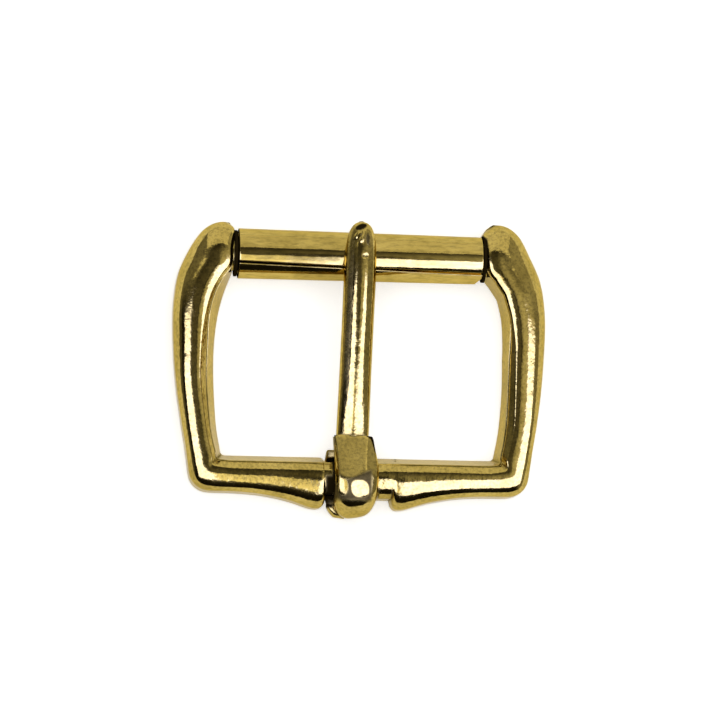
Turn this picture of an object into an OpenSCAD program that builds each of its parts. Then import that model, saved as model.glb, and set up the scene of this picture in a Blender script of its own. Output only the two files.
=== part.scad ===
// Roller buckle for a belt strap: a cast frame with two horns, a rolled sheet roller and a swinging prong.
// The buckle lies on its back: +X along the roller, +Y from the heel bar to the roller, +Z to the viewer.

/* [Frame] */
// Width of the strap window at the heel bar
strap_w = 38; // [34:0.5:42]
// From the prong's hinge to the roller's axis
reach = 30.7; // [28:0.1:34]
// How far each side of the window bows out halfway up
bow = 1.1; // [0.6:0.1:1.6]
// How far each horn's inner face stands in from the window's side
face_step = 1.4; // [1:0.1:2]
// From the window's side at the heel bar to the arm's widest place
flank = 6.9; // [6:0.1:7.6]
// Height of the horns above the roller's axis, seen in plan
horn_reach = 4.6; // [4.2:0.1:5.2]
// Thickness of the horns, front to back
horn_t = 7; // [6.7:0.1:7.6]
// Rise of the arms' backs between the heel bar and the horns
arch = 1.1; // [0.4:0.1:1.6]
// Radius of the rounding along the frame's outer side
round_r = 2.5; // [2.2:0.1:2.8]
// Outer radius of the two heel corners
corner_r = 2.8; // [2:0.1:3.2]
// Radius of the axle that carries the roller
axle_r = 2.4; // [2.2:0.05:2.5]
// Height of the axle above the back
axle_z = 3.9; // [3.8:0.05:4.2]

/* [Heel bar] */
// Width of the heel bar beside its shoulders
bar_w = 5.05; // [4.6:0.05:5.4]
// Thickness of the heel bar, front to back
bar_t = 5.7; // [5.5:0.1:6.1]
// How far the two shoulders reach below the bar
flare = 2.05; // [1.6:0.05:2.4]
// Width of the notch that the prong swings in
notch_w = 9; // [8.6:0.1:10]
// Radius of the round bar in the notch
pin_r = 2.45; // [2.3:0.05:2.55]

/* [Roller] */
// Thickness of the roller's rolled sheet
sheet_t = 0.72; // [0.6:0.02:0.85]
// Gap between the sheet and the axle
roller_play = 0.26; // [0.2:0.02:0.35]
// Gap between the roller and each horn
end_gap = 0.5; // [0.3:0.05:0.8]
// Width of the open seam along the roller
seam_w = 0.3; // [0.2:0.05:0.5]
// How far the seam is turned from the front towards the heel bar
seam_turn = 31; // [15:1:40]
// Length of the clipped corner of the sheet
clip_l = 0.9; // [0.5:0.1:1.4]

/* [Prong] */
// Width of the prong's shank
prong_w = 4.45; // [4:0.05:4.8]
// Thickness of the shank where it rests on the roller
prong_t = 2.3; // [2:0.1:2.7]
// How far the tip reaches past the roller's axis
tip_reach = 4.3; // [4.1:0.1:4.6]
// How far the tip curls down
tip_curl = 2.5; // [2:0.1:2.8]
// Gap between the shank and the roller that it rests on
rest_gap = 0.12; // [0.08:0.02:0.3]
// Sideways place of the shank's root from the middle
root_x = -1.25; // [-1.4:0.05:-0.6]
// Sideways place of the tip from the middle
tip_x = -0.5; // [-0.9:0.1:0.9]
// Width of the collar round the hinge
collar_w = 6; // [5.4:0.1:6.4]
// Sideways place of the collar's middle
collar_x = -0.5; // [-0.7:0.05:0.6]
// Thickness of the collar over the bar
collar_t = 2; // [1.8:0.1:2.2]
// How far the collar's top slopes down to the shank
collar_slope = 1.2; // [0.9:0.1:1.5]
// From the hinge to the collar's end at the shank
collar_len = 5.6; // [5:0.1:6]
// Reach of the collar below the hinge, seen in plan
collar_reach = 5.65; // [5.3:0.05:6]
// Thickness of the tail that is bent behind the bar
tail_t = 1.2; // [1.1:0.05:1.3]
// Width of the tail
tail_w = 4.6; // [3.6:0.1:4.8]
// Gap between the bar and the collar's bore
hinge_play = 0.12; // [0.1:0.02:0.16]

/* [Hidden] */
$fn = 64;
brass = "#b89b4f";
// How far one body runs into another that it is one piece with
overlap = 0.4;
// Height of the tail above the back, and the step from the collar's end down to the shank
tail_lift = 0.03;
neck_step = 0.25;

// Places that follow from the sizes, with the hinge at Y 0
half_window = strap_w / 2;
face_x = half_window - face_step;
window_y = pin_r + overlap;
heel_y = window_y - bar_w;
notch_x = notch_w / 2;
roller_r = axle_r + roller_play + sheet_t;
roller_l = 2 * (face_x - end_gap);
bore_r = pin_r + hinge_play;
tail_r = bore_r + tail_t;
hinge_z = tail_r + tail_lift;
rest_z = axle_z + roller_r + rest_gap;
collar_top = hinge_z + bore_r + collar_t;
neck_top = collar_top - collar_slope;
shank_top = neck_top - neck_step;
// The origin is under the middle of the buckle's box
mid_y = (reach + horn_reach - collar_reach) / 2;

function mix(a, b, t) = a + (b - a) * t;
function spline(a, b, c, d, t) =
    0.5 * (2 * b + (c - a) * t + (2 * a - 5 * b + 4 * c - d) * t * t + (3 * b - a - 3 * c + d) * t * t * t);
// Rows read at even steps between the given ones, on a smooth curve
function smooth(rows, steps) = [
    for (i = [0 : len(rows) - 2], s = [0 : steps - 1])
        spline(rows[max(i - 1, 0)], rows[i], rows[i + 1], rows[min(i + 2, len(rows) - 1)], s / steps),
    rows[len(rows) - 1]
];

// One section of the frame, from its window edge at 0 to its outer edge at w:
// a drafted wall, a bevel, a soft crest, a flat and a quarter round
edge = 0.5;
crest_turn = 30;
least_flat = 0.1;
function section(w, wall, bevel, crest, top, back) =
    let (
        e = min(edge, w / 4),
        r = (crest - bevel) / sin(crest_turn),
        bevel_drop = r * (1 - cos(crest_turn)),
        wall_drop = bevel_drop + 1.1 * (bevel - wall),
        flat = max(crest + least_flat, w - round_r),
        drop = min(w - flat, 0.62 * (top - back))
    ) concat(
        [[e, back], [0, back + e], [wall, top - wall_drop]],
        [for (a = [crest_turn : -10 : 0]) [crest - r * sin(a), top - r * (1 - cos(a))]],
        [for (a = [0 : 15 : 90]) [flat + (w - flat) * sin(a), top - drop * (1 - cos(a))]],
        [[w, back + e], [w - e, back]]
    );

// Station: inner x, inner y, outer x, outer y, wall, bevel, crest, top, back
function place(st) =
    let (
        a = [st[0], st[1]],
        d = [st[2], st[3]] - a,
        w = norm(d)
    ) [
        for (p = section(w, st[4], st[5], st[6], st[7], max(0, st[8])))
            [a[0] + d[0] / w * p[0], a[1] + d[1] / w * p[0], p[1]]
    ];

// Bands of the section over the heel bar, as shares of its width: wall, bevel, crest
bar_bands = [0.1, 0.28, 0.36] * bar_w;

// Heel bar, from the notch to the corner: distance along as a share, reach of the shoulder as a share
shoulder_rows = [
    [0, 0.62], [0.02, 0.86], [0.055, 0.98], [0.1, 1], [0.16, 0.92], [0.23, 0.74],
    [0.31, 0.53], [0.41, 0.33], [0.52, 0.19], [0.64, 0.08], [0.78, 0.02], [0.93, 0]
];
corner_in = 0.6;
bar_run = half_window - corner_in - notch_x;
heel_stations = [
    for (row = smooth(shoulder_rows, 2))
        let (x = notch_x + row[0] * bar_run)
            concat([x, window_y, x, heel_y - row[1] * flare], bar_bands, [bar_t, 0])
];

// Heel corner: both edges turn a quarter, the outer one round a larger radius
heel_flank = 0.66 * flank;
corner_x = half_window + heel_flank - corner_r;
corner_stations = [
    for (a = [0 : 15 : 90])
        concat(
            [
                half_window - corner_in * (1 - sin(a)), window_y + corner_in * (1 - cos(a)),
                corner_x + corner_r * sin(a), heel_y + corner_r * (1 - cos(a))
            ],
            bar_bands, [bar_t, 0]
        )
];

// Arm, from the corner to the horn. The y columns are shares of reach, in_x of bow (or of face_step
// where negative), out_x of flank, the bands of bar_w, top of the rise to the horn, back of arch.
// in_y, in_x, out_y, out_x, wall, bevel, crest, top, back
arm_rows = [
    [0.17, 0.3, 0.14, 0.735, 0.13, 0.27, 0.38, 0.03, 0.15],
    [0.254, 0.64, 0.241, 0.814, 0.13, 0.27, 0.41, 0.08, 0.5],
    [0.417, 0.95, 0.41, 0.923, 0.15, 0.28, 0.44, 0.2, 0.9],
    [0.58, 0.96, 0.58, 0.983, 0.22, 0.31, 0.52, 0.38, 1],
    [0.71, 0.59, 0.726, 1, 0.28, 0.33, 0.6, 0.58, 0.8],
    [0.808, -0.03, 0.834, 0.965, 0.2, 0.25, 0.6, 0.76, 0.35],
    [0.883, -0.61, 0.912, 0.9, 0.1, 0.15, 0.55, 0.9, 0.05]
];
// Horn, from the roller's lower edge to its rounded end. The y columns are shares of horn_reach
// past the axle, the other columns as in the arm's rows.
horn_rows = [
    [-0.45, -1, -0.15, 0.783, 0.02, 0.07, 0.47, 1, 0],
    [0.04, -1, 0.28, 0.63, 0.02, 0.07, 0.45, 1, 0],
    [0.41, -1, 0.63, 0.46, 0.02, 0.06, 0.36, 0.72, 0.1],
    [0.63, -0.98, 0.88, 0.28, 0.02, 0.05, 0.26, 0.15, 0.9],
    [0.74, -0.92, 1, 0.09, 0.02, 0.04, 0.16, -0.7, 1.7]
];
function arm_station(row, y0, y_len) = concat(
    [
        half_window + row[1] * (row[1] > 0 ? bow : face_step), y0 + row[0] * y_len,
        half_window + row[3] * flank, y0 + row[2] * y_len
    ],
    [for (i = [4 : 6]) row[i] * bar_w],
    [mix(bar_t, horn_t, row[7]), row[8] * arch]
);
arm_stations = smooth(concat(
    [for (row = arm_rows) arm_station(row, 0, reach)],
    [for (row = horn_rows) arm_station(row, reach, horn_reach)]
), 3);

function middle(ring) = [for (i = [0 : 2]) [for (p = ring) p[i]] * [for (p = ring) 1 / len(ring)]];
// A closed skin over a list of rings that all have the same number of points
module skin(rings) {
    m = len(rings[0]);
    n = len(rings);
    first = n * m;
    last = (n - 1) * m;
    points = concat([for (ring = rings, p = ring) p], [middle(rings[0]), middle(rings[n - 1])]);
    sides = [
        for (i = [0 : n - 2], j = [0 : m - 1])
            let (a = i * m + j, b = i * m + (j + 1) % m)
                each [[a, b, b + m], [a, b + m, a + m]]
    ];
    caps = [
        for (j = [0 : m - 1])
            each [[(j + 1) % m, j, first], [last + j, last + (j + 1) % m, first + 1]]
    ];
    polyhedron(points, concat(sides, caps));
}

// Half of the frame, from the horn down the arm and round the corner to the notch
module half_frame() {
    stations = concat(heel_stations, corner_stations, arm_stations);
    skin([for (i = [len(stations) - 1 : -1 : 0]) place(stations[i])]);
}

// Stretch of the heel bar along X, as wide as w, without a shoulder
module plain_bar(x, l, w) {
    translate([x, window_y, 0])
        rotate([90, 0, 90])
            linear_extrude(l)
                mirror([1, 0])
                    polygon(section(w, bar_bands[0], bar_bands[1], bar_bands[2], bar_t, 0));
}

// Bar across the notch: round where the prong's collar turns on it, and plain beside the collar
pin_w = bar_w + flare / 4;
step_x = collar_x + collar_w / 2 + 0.25;
module hinge_bar() {
    intersection() {
        translate([0, 0, hinge_z])
            rotate([0, 90, 0])
                cylinder(r = pin_r, h = notch_w + 2 * overlap, center = true);
        plain_bar(-notch_w, 2 * notch_w, pin_w);
    }
    plain_bar(step_x, notch_x + overlap - step_x, bar_w + flare / 8);
}

axle_l = 2 * face_x + 10 * overlap;
module frame() {
    color(brass) translate([0, -mid_y, 0]) union() {
        half_frame();
        mirror([1, 0, 0]) half_frame();
        hinge_bar();
        translate([0, reach, axle_z])
            rotate([0, 90, 0])
                cylinder(r = axle_r, h = axle_l, center = true);
    }
}

// Sheet rolled round the axle, with an open seam and one clipped corner
clip_turn = 35;
module roller() {
    color(brass) translate([0, reach - mid_y, axle_z]) difference() {
        rotate([0, 90, 0]) cylinder(r = roller_r, h = roller_l, center = true);
        rotate([0, 90, 0]) cylinder(r = axle_r + roller_play, h = roller_l + 2, center = true);
        rotate([seam_turn, 0, 0])
            translate([-roller_l, -seam_w / 2, 0])
                cube([2 * roller_l, seam_w, 2 * roller_r]);
        // Clipped corner of the lower flap, at its right end
        translate([roller_l / 2 - clip_l, -roller_r, 0])
            rotate([0, 0, clip_turn])
                translate([0, -roller_r, -roller_r])
                    cube([roller_r, roller_r, 1.35 * roller_r]);
    }
}

// Shank of the prong, from its root over the bar to its tip. Width as a share of prong_w, rise of the
// top from the collar to the roller as a share, curl as a share of tip_curl.
// along, width, rise, curl
shank_rows = [
    [0.07, 1, 0, 0], [0.17, 1, 0.1, 0], [0.3, 0.99, 0.32, 0], [0.46, 0.98, 0.58, 0], [0.62, 0.98, 0.82, 0],
    [0.76, 0.99, 0.97, 0], [0.85, 0.98, 1, 0.02], [0.905, 0.93, 1, 0.1], [0.945, 0.83, 1, 0.24],
    [0.975, 0.66, 1, 0.45], [0.993, 0.42, 1, 0.72], [1, 0.2, 1, 0.9]
];
tip_y = reach + tip_reach;
root_under = hinge_z + 0.5 * bore_r;
tip_low = axle_z + 0.62 * roller_r;
// Underside of the shank: straight to the roller between these two shares, then round it
under_from = 0.12;
under_to = 0.76;
function under_z(y, along) =
    y < reach
        ? mix(root_under, rest_z, min(1, max(0, (along - under_from) / (under_to - under_from))))
        : max(tip_low, axle_z + sqrt(max(0, pow(rest_z - axle_z, 2) - pow(y - reach, 2))));
// Least thickness at the tip
tip_min = 0.5;
function shank_ring(row) =
    let (
        y = row[0] * tip_y,
        x = mix(root_x, tip_x, row[0]),
        hw = row[1] * prong_w / 2,
        top = mix(shank_top, rest_z + prong_t, row[2]) - row[3] * tip_curl,
        low = min(under_z(y, row[0]), top - tip_min),
        drop = min(0.9 * hw, 0.72 * (top - low)),
        e = min(0.35, 0.3 * hw),
        side = low + min(e, 0.2 * (top - low))
    ) concat(
        [[x + hw - e, y, low], [x + hw, y, side]],
        [for (a = [90 : -22.5 : -90]) [x + hw * sin(a), y, top - drop * (1 - cos(a))]],
        [[x - hw, y, side], [x - hw + e, y, low]]
    );
module shank() {
    skin([for (row = smooth(shank_rows, 2)) shank_ring(row)]);
}

// Outline of the collar, seen along the hinge with the Y axis to the right: from the shank down the
// sloping top, round the front and under to the tail
foot_len = 2.6;
slope_start = 0.5;
module collar_outline() {
    front_r = collar_reach;
    arc_z = collar_top - front_r;
    difference() {
        polygon(concat(
            [[collar_len, root_under], [collar_len, neck_top], [slope_start, collar_top]],
            [for (a = [0 : 7.5 : 90]) [-front_r * sin(a), arc_z + front_r * cos(a)]],
            [
                for (a = [15 : 15 : 90])
                    [-front_r + foot_len * (1 - cos(a)), arc_z - (arc_z - hinge_z + tail_r) * sin(a)]
            ],
            [[0, hinge_z - tail_r], [0, root_under]]
        ));
        translate([0, hinge_z]) circle(bore_r);
    }
}

// Plan between two sides, from a lower end with rounded corners up to the shank
module rounded_plan(left, right, low, r) {
    w = right - left;
    translate([left, low]) {
        translate([r, r]) circle(r);
        translate([w - r, r]) circle(r);
        translate([r, 0]) square([w - 2 * r, 2 * r]);
        translate([0, r]) square([w, collar_len - low - r]);
    }
}

module collar() {
    intersection() {
        translate([collar_x - collar_w / 2, 0, 0])
            rotate([90, 0, 90])
                linear_extrude(collar_w) collar_outline();
        linear_extrude(2 * collar_top, center = true)
            rounded_plan(collar_x - collar_w / 2, collar_x + collar_w / 2, -collar_reach, collar_w / 3);
    }
}

// Low foot of the collar that spreads to the left, over the tail's root
tail_out = 0.7;
tail_x = collar_x - collar_w / 2 - tail_out;
foot_in = 0.2;
foot_top = 2.6;
module foot() {
    intersection() {
        translate([tail_x, 0, 0])
            rotate([90, 0, 90])
                linear_extrude(tail_w)
                    intersection() {
                        offset(delta = -foot_in) collar_outline();
                        translate([-collar_reach, 0]) square([collar_reach, foot_top]);
                    }
        linear_extrude(2 * collar_top, center = true)
            rounded_plan(tail_x, tail_x + tail_w + 2, foot_in - collar_reach, collar_w / 4);
    }
}

// Thin tail bent under the bar, its end showing on the window's side and beside the collar
tail_end = 6;
module tail() {
    translate([tail_x, 0, hinge_z])
        rotate([90, 0, 90])
            linear_extrude(tail_w)
                difference() {
                    circle(tail_r);
                    circle(bore_r);
                    rotate(tail_end) square(2 * tail_r);
                    rotate(tail_end + 80) square(2 * tail_r);
                    rotate(tail_end + 164) square(2 * tail_r);
                }
}

module prong() {
    color(brass) translate([0, -mid_y, 0]) union() {
        shank();
        collar();
        foot();
        tail();
    }
}

frame();
roller();
prong();
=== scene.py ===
from functools import partial
from math import atan2, cos, hypot, pi, radians, sin, sqrt, tan

import bmesh
import bpy
import numpy as np
from mathutils import Matrix, Vector, noise


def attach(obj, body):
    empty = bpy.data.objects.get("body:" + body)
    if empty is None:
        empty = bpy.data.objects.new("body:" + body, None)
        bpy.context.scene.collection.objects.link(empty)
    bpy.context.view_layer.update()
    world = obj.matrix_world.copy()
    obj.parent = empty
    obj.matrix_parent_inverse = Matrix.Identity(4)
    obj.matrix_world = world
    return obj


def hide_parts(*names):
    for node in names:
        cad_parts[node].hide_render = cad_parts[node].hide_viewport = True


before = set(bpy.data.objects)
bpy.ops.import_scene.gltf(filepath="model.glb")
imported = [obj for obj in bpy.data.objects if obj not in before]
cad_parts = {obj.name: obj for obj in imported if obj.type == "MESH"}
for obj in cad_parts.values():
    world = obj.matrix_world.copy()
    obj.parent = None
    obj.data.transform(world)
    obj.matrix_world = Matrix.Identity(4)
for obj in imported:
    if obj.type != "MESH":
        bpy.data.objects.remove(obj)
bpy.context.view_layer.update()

# Roller buckle in brass: a cast frame with two horns, a roller of rolled sheet and a cast prong.
# Lengths in the dictionaries are millimetres, measured from the prong's hinge (Y 0) and the back (Z 0).
mm = 0.001
hingeToMiddle = 14.825  # the hinge lies this far below the middle of the buckle


def toRow(points):
    # from the hinge's millimetres to the part's own metres
    points = np.array(points, float)
    points[:, 1] -= hingeToMiddle
    return points * mm


def mix(a, b, t):
    return a + (b - a) * t


def quarter(count):
    # angles of a quarter turn
    return np.radians(np.linspace(0, 90, count))


def within(count):
    # even shares of a way, without its two ends
    return np.linspace(0, 1, count)[1:-1]


def spline(a, b, c, d, t):
    return 0.5 * (2 * b + (c - a) * t + (2 * a - 5 * b + 4 * c - d) * t * t + (3 * b - a - 3 * c + d) * t ** 3)


def smoothRows(rows, steps):
    rows = np.array(rows, float)
    last = len(rows) - 1
    out = []
    for i in range(last):
        a, b, c, d = rows[max(i - 1, 0)], rows[i], rows[i + 1], rows[min(i + 2, last)]
        out += [spline(a, b, c, d, s / steps) for s in range(steps)]
    out.append(rows[last])
    return np.array(out)


def evenOut(stations, along, step, blur):
    # stations read at even steps of the path's length, then averaged with their neighbours
    lengths = np.concatenate([[0], np.cumsum(np.linalg.norm(np.diff(along, axis=0), axis=1))])
    count = int(lengths[-1] / step) + 2
    even = np.linspace(0, lengths[-1], count)
    out = np.array([np.interp(even, lengths, column) for column in stations.T]).T
    reach = int(3 * blur / step)
    if reach:
        weights = np.exp(-0.5 * (np.arange(-reach, reach + 1) * step / blur) ** 2)
        weights /= weights.sum()
        head = 2 * out[0] - out[reach:0:-1]
        tail = 2 * out[-1] - out[-2:-reach - 2:-1]
        padded = np.concatenate([head, out, tail])
        out = np.array([np.convolve(column, weights, "valid") for column in padded.T]).T
    return out


def skinFaces(ringCount, count):
    # quads between neighbouring rings of equal length
    faces = []
    for i in range(ringCount - 1):
        for j in range(count):
            a, b = i * count + j, i * count + (j + 1) % count
            faces.append((a, b, b + count, a + count))
    return faces


def loftMesh(name, rings):
    # closed skin over the rings, its ends closed with fans round a middle point
    count = len(rings[0])
    points = np.concatenate([np.array(ring, float) for ring in rings])
    last = (len(rings) - 1) * count
    faces = skinFaces(len(rings), count)
    faces += [((j + 1) % count, j, len(points)) for j in range(count)]
    faces += [(last + j, last + (j + 1) % count, len(points) + 1) for j in range(count)]
    middles = [np.mean(ring, axis=0) for ring in (rings[0], rings[-1])]
    mesh = bpy.data.meshes.new(name)
    mesh.from_pydata([tuple(p) for p in toRow(np.concatenate([points, middles]))], [], faces)
    return cleanMesh(mesh)


def cleanMesh(mesh, weld=1e-7):
    work = bmesh.new()
    work.from_mesh(mesh)
    bmesh.ops.remove_doubles(work, verts=work.verts, dist=weld)
    bmesh.ops.dissolve_degenerate(work, dist=weld, edges=work.edges)
    bmesh.ops.recalc_face_normals(work, faces=work.faces)
    work.to_mesh(mesh)
    work.free()
    mesh.update()
    return mesh


def newObject(name, data):
    obj = bpy.data.objects.new(name, data)
    bpy.context.scene.collection.objects.link(obj)
    return obj


def applied(obj):
    # the object's evaluated mesh takes the place of its mesh and modifiers
    graph = bpy.context.evaluated_depsgraph_get()
    graph.update()
    mesh = bpy.data.meshes.new_from_object(obj.evaluated_get(graph))
    obj.modifiers.clear()
    old = obj.data
    obj.data = mesh
    if old.users == 0:
        bpy.data.meshes.remove(old)
    return obj


def joined(obj, others):
    # one closed casting from several closed bodies
    for other in others:
        modifier = obj.modifiers.new("join", "BOOLEAN")
        modifier.operation = "UNION"
        modifier.solver = "MANIFOLD"
        modifier.object = other
        applied(obj)
        mesh = other.data
        bpy.data.objects.remove(other)
        bpy.data.meshes.remove(mesh)
    return obj


def tubeRing(radius, count):
    turn = np.linspace(0, 2 * pi, count, endpoint=False)
    return np.stack([radius * np.cos(turn), radius * np.sin(turn)], axis=1)


def barAlongX(name, x0, x1, y, z, radius, count=96, step=0.4):
    ring = tubeRing(radius, count)
    xs = np.linspace(x0, x1, max(2, int((x1 - x0) / step)))
    return newObject(name, loftMesh(name, [[(x, y + p[0], z + p[1]) for p in ring] for x in xs]))


def surfaceOf(mesh):
    # places and normals of the mesh's points
    read = []
    for source, what in ((mesh.vertices, "co"), (mesh.vertex_normals, "vector")):
        values = np.zeros(len(mesh.vertices) * 3)
        source.foreach_get(what, values)
        read.append(values.reshape(-1, 3))
    return read


def movePoints(mesh, places):
    mesh.vertices.foreach_set("co", places.ravel())
    mesh.update()


def lumps(mesh, layers, seed):
    # cast and hand-polished metal: the surface waves a little, each layer a wave length and a height in mm
    places, normals = surfaceOf(mesh)
    shift = np.zeros(len(places))
    for k, (length, height) in enumerate(layers):
        offset = Vector((seed * 7.13 + k * 3.7, seed * 2.9 - k * 5.1, seed * 4.3))
        scale = 1 / (length * mm)
        shift += [height * mm * noise.noise(Vector(p) * scale + offset) for p in places]
    movePoints(mesh, places + normals * shift[:, None])


def patinaAndShade(mesh, dark, bare=None, concave=(0.25, 0.8), spread=2):
    # tarnish left in the creases, except where bare(x, y, z) says so, and painted shade where dark(x, y, z) says so, as
    # a point attribute that the brass material reads
    places, normals = surfaceOf(mesh)
    count = len(places)
    ends = np.zeros(len(mesh.edges) * 2, int)
    mesh.edges.foreach_get("vertices", ends)
    ends = np.concatenate([ends.reshape(-1, 2), ends.reshape(-1, 2)[:, ::-1]])
    step = places[ends[:, 1]] - places[ends[:, 0]]
    lift = np.sum(step * normals[ends[:, 0]], axis=1) / np.maximum(np.sum(step * step, axis=1), 1e-10) * mm
    number = np.maximum(np.bincount(ends[:, 0], minlength=count), 1)
    hollow = np.bincount(ends[:, 0], weights=lift, minlength=count) / number
    value = np.clip((hollow - concave[0]) / (concave[1] - concave[0]), 0, 1)
    for _ in range(spread):
        around = np.bincount(ends[:, 0], weights=value[ends[:, 1]], minlength=count) / number
        value = np.maximum(value, 0.9 * around)
    points = (places / mm + [0, hingeToMiddle, 0]).T
    if bare:
        value *= 1 - bare(*points)
    value = np.maximum(value, dark(*points))
    layer = mesh.attributes.new("patinaAndShade", "FLOAT", "POINT")
    layer.data.foreach_set("value", value)


def ease(value, low, high):
    t = np.clip((value - low) / (high - low), 0, 1)
    return t * t * (3 - 2 * t)


def fade(value, low, high):
    # 1 up to low, softly down to 0 at high
    return ease(-value, -high, -low)


def smoothShading(mesh, angle):
    mesh.shade_smooth()
    mesh.set_sharp_from_angle(angle=radians(angle))
    mesh.update()


def feed(tree, sockets, values):
    # each socket gets a number, a colour or another node's output
    for socket, value in zip(sockets, values):
        if isinstance(value, (int, float)):
            socket.default_value = value
        elif isinstance(value, tuple):
            socket.default_value = (*value, 1)
        elif value is not None:
            tree.links.new(value, socket)


def feedNamed(tree, node, values):
    # the same for inputs that are called by their names
    feed(tree, [node.inputs[name] for name in values], values.values())


def addNode(tree, kind, *values, **settings):
    node = tree.nodes.new(kind)
    for name, setting in settings.items():
        setattr(node, name, setting)
    feed(tree, node.inputs, values)
    return node


def mathNode(tree, operation, *values):
    return addNode(tree, "ShaderNodeMath", *values, operation=operation).outputs[0]


def arithmetic(tree):
    operations = ("MULTIPLY", "ADD", "SUBTRACT", "DIVIDE", "MINIMUM", "MAXIMUM")
    return [partial(mathNode, tree, operation) for operation in operations]


def stepNode(tree, value, low, high, start=0.0, end=1.0):
    # smooth way from start to end as the value goes from low to high
    settings = {"interpolation_type": "SMOOTHSTEP"}
    return addNode(tree, "ShaderNodeMapRange", value, low, high, start, end, **settings).outputs[0]


def noiseNode(tree, vector, scale, detail=2.0, rough=0.5):
    node = tree.nodes.new("ShaderNodeTexNoise")
    feedNamed(tree, node, {"Vector": vector, "Scale": scale, "Detail": detail, "Roughness": rough})
    return node.outputs[0]


def rampNode(tree, value, stops):
    # stops are a place and a colour each
    node = addNode(tree, "ShaderNodeValToRGB", value)
    while len(node.color_ramp.elements) < len(stops):
        node.color_ramp.elements.new(0.5)
    for element, (at, colour) in zip(node.color_ramp.elements, stops):
        element.position = at
        element.color = (*colour, 1)
    return node.outputs[0]


print("tools ready")

# the cast frame, with its horns, heel bar and axle
castFrame = {
    "window": 38.0,  # width of the strap window at the heel bar
    "reach": 30.7,  # hinge to roller axis
    "bow": 1.1,  # how far the window's sides bow out
    "faceStep": 1.4,  # how far the horns stand in at the roller
    "flank": 6.9,  # window's side to the arm's widest place
    "hornReach": 4.6,
    "hornThick": 7.0,
    "arch": 1.1,  # rise of the arms' backs
    "runShare": (0.62, 0.48),  # share of the top before its side round begins, on the bar and the horns
    "cornerRound": 2.8,
    "cornerIn": 0.6,
    "axleRound": 2.4,
    "axleHigh": 3.9,
    "barWide": 5.05,
    "barThick": 5.7,
    "windowEdge": 3.0,  # from the hinge to the bar's window side
    "heelEdge": -2.25,  # and to its outer side
    "flare": 2.05,  # how far the shoulders reach below the bar
    "notchHalf": 4.5,
    "pinRound": 2.45,
    "hingeHigh": 3.8,
    "bands": (0.225, 0.42, 0.46),  # wall, bevel and crest over the bar, as shares of its width
    "barSlope": 0.68,  # slope of the bevel on the heel bar and on the arms
    "armSlope": 1.05,
    "crownIn": 11.0,  # degrees that the top still rises from the crest
    "crownOut": 24.0,  # and falls off before its side round begins
    "groove": 0.15,  # depth and width of the fine groove between wall and bevel
    "grooveWide": 0.26,
    "footRound": 0.5,
    "endRound": 0.6,  # rounding of the shoulders' ends
    # the right arm's inner and the right nose's outer outline against the left ones: y, shift
    "leanRight": ((17, 20, 22.5, 25.5, 27.3, 28.6, 31, 36), (0, 0.22, 0.45, 0.62, 0.15, -0.35, -0.75, -0.85)),
    "noseRight": ((31.5, 33.5, 36), (0, 0.45, 0.68)),
    "slopeRight": 0.94,  # the right arm's bevel is no steeper than this
    "lowShift": 0.15,  # the heel end lies this much to the right
    "sideDrop": (1.5, 0.6),  # depth of the top's side round, by its width and by the height at most
    "cornerAt": 0.66,  # the outer corner's place, as a share of the flank
    "mitre": 9,  # the higher, the sharper the bands turn in the corner
    "crestTurn": 30.0,  # degrees that the crest's inner round turns
    "stationStep": 0.22,
    "stationBlur": 0.3,
    "lowTo": 15,  # fading out up to this Y, and starting this far from the middle
    "lowFrom": (6, 14),
    "noseAhead": 0.12,  # how far the horn's rounded end stands out, and the turns of its rings
    "noseTurns": (20, 40, 60, 76),
    "pinInto": 0.4,  # how far the pin and the axle reach into the casting
    "axleInto": 2,
    "frontHalf": 6,  # half length of the bar that bounds the pin at its front
    "frontDeep": 0.25,  # share of the flare by which it is wider than the heel bar
    "stepFrom": 2.75,  # the step right of the collar
    "stepInto": 0.8,
    "stepDeep": 0.3,
    "bossRound": 3.2,  # seat of the axle before the horn's inner face, painted dark to stand for the shade in the gap there
    "bossGap": 0.32,
    "bossInto": 0.05,
    "bossRight": 0.48,  # the right seat stands in this much further
    "seatX": -0.24,  # middle between the two seats
    "lumps": ((3.2, 0.012), (1.3, 0.004), (0.7, 0.0015)),  # wave lengths and heights
    "sharpFrom": 38,  # edges stay sharp from this many degrees
}
shoulderRows = [
    # along the bar, reach of the shoulder
    (0, 0.62), (0.02, 0.86), (0.055, 0.98), (0.1, 1), (0.16, 0.93), (0.23, 0.78),
    (0.31, 0.61), (0.41, 0.43), (0.52, 0.28), (0.64, 0.15), (0.78, 0.06), (0.93, 0.01),
]
armRows = [
    # inner y, inner x, outer y, outer x, top, back
    (0.17, 0.3, 0.14, 0.735, 0.03, 0.15),
    (0.254, 0.64, 0.241, 0.814, 0.08, 0.5),
    (0.417, 0.95, 0.41, 0.923, 0.2, 0.9),
    (0.58, 0.96, 0.58, 0.983, 0.38, 1),
    (0.71, 0.59, 0.726, 1, 0.58, 0.8),
    (0.808, -0.03, 0.834, 0.965, 0.76, 0.35),
    (0.883, -0.61, 0.912, 0.9, 0.9, 0.05),
]
hornRows = [
    # the same columns, y measured from the roller's axis in shares of hornReach
    (-0.45, -1, -0.15, 0.783, 1, 0),
    (0.04, -1, 0.28, 0.63, 1, 0),
    (0.41, -1, 0.63, 0.46, 0.72, 0.1),
    (0.6, -1, 0.84, 0.28, 0.2, 0.15),
    (0.7, -0.98, 0.915, 0.13, -0.2, 0.3),
    (0.78, -0.9, 0.945, 0.01, -0.6, 0.7),
    (0.84, -0.76, 0.945, -0.06, -1.1, 1.3),
    (0.88, -0.62, 0.93, -0.09, -1.6, 1.9),
]
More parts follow.
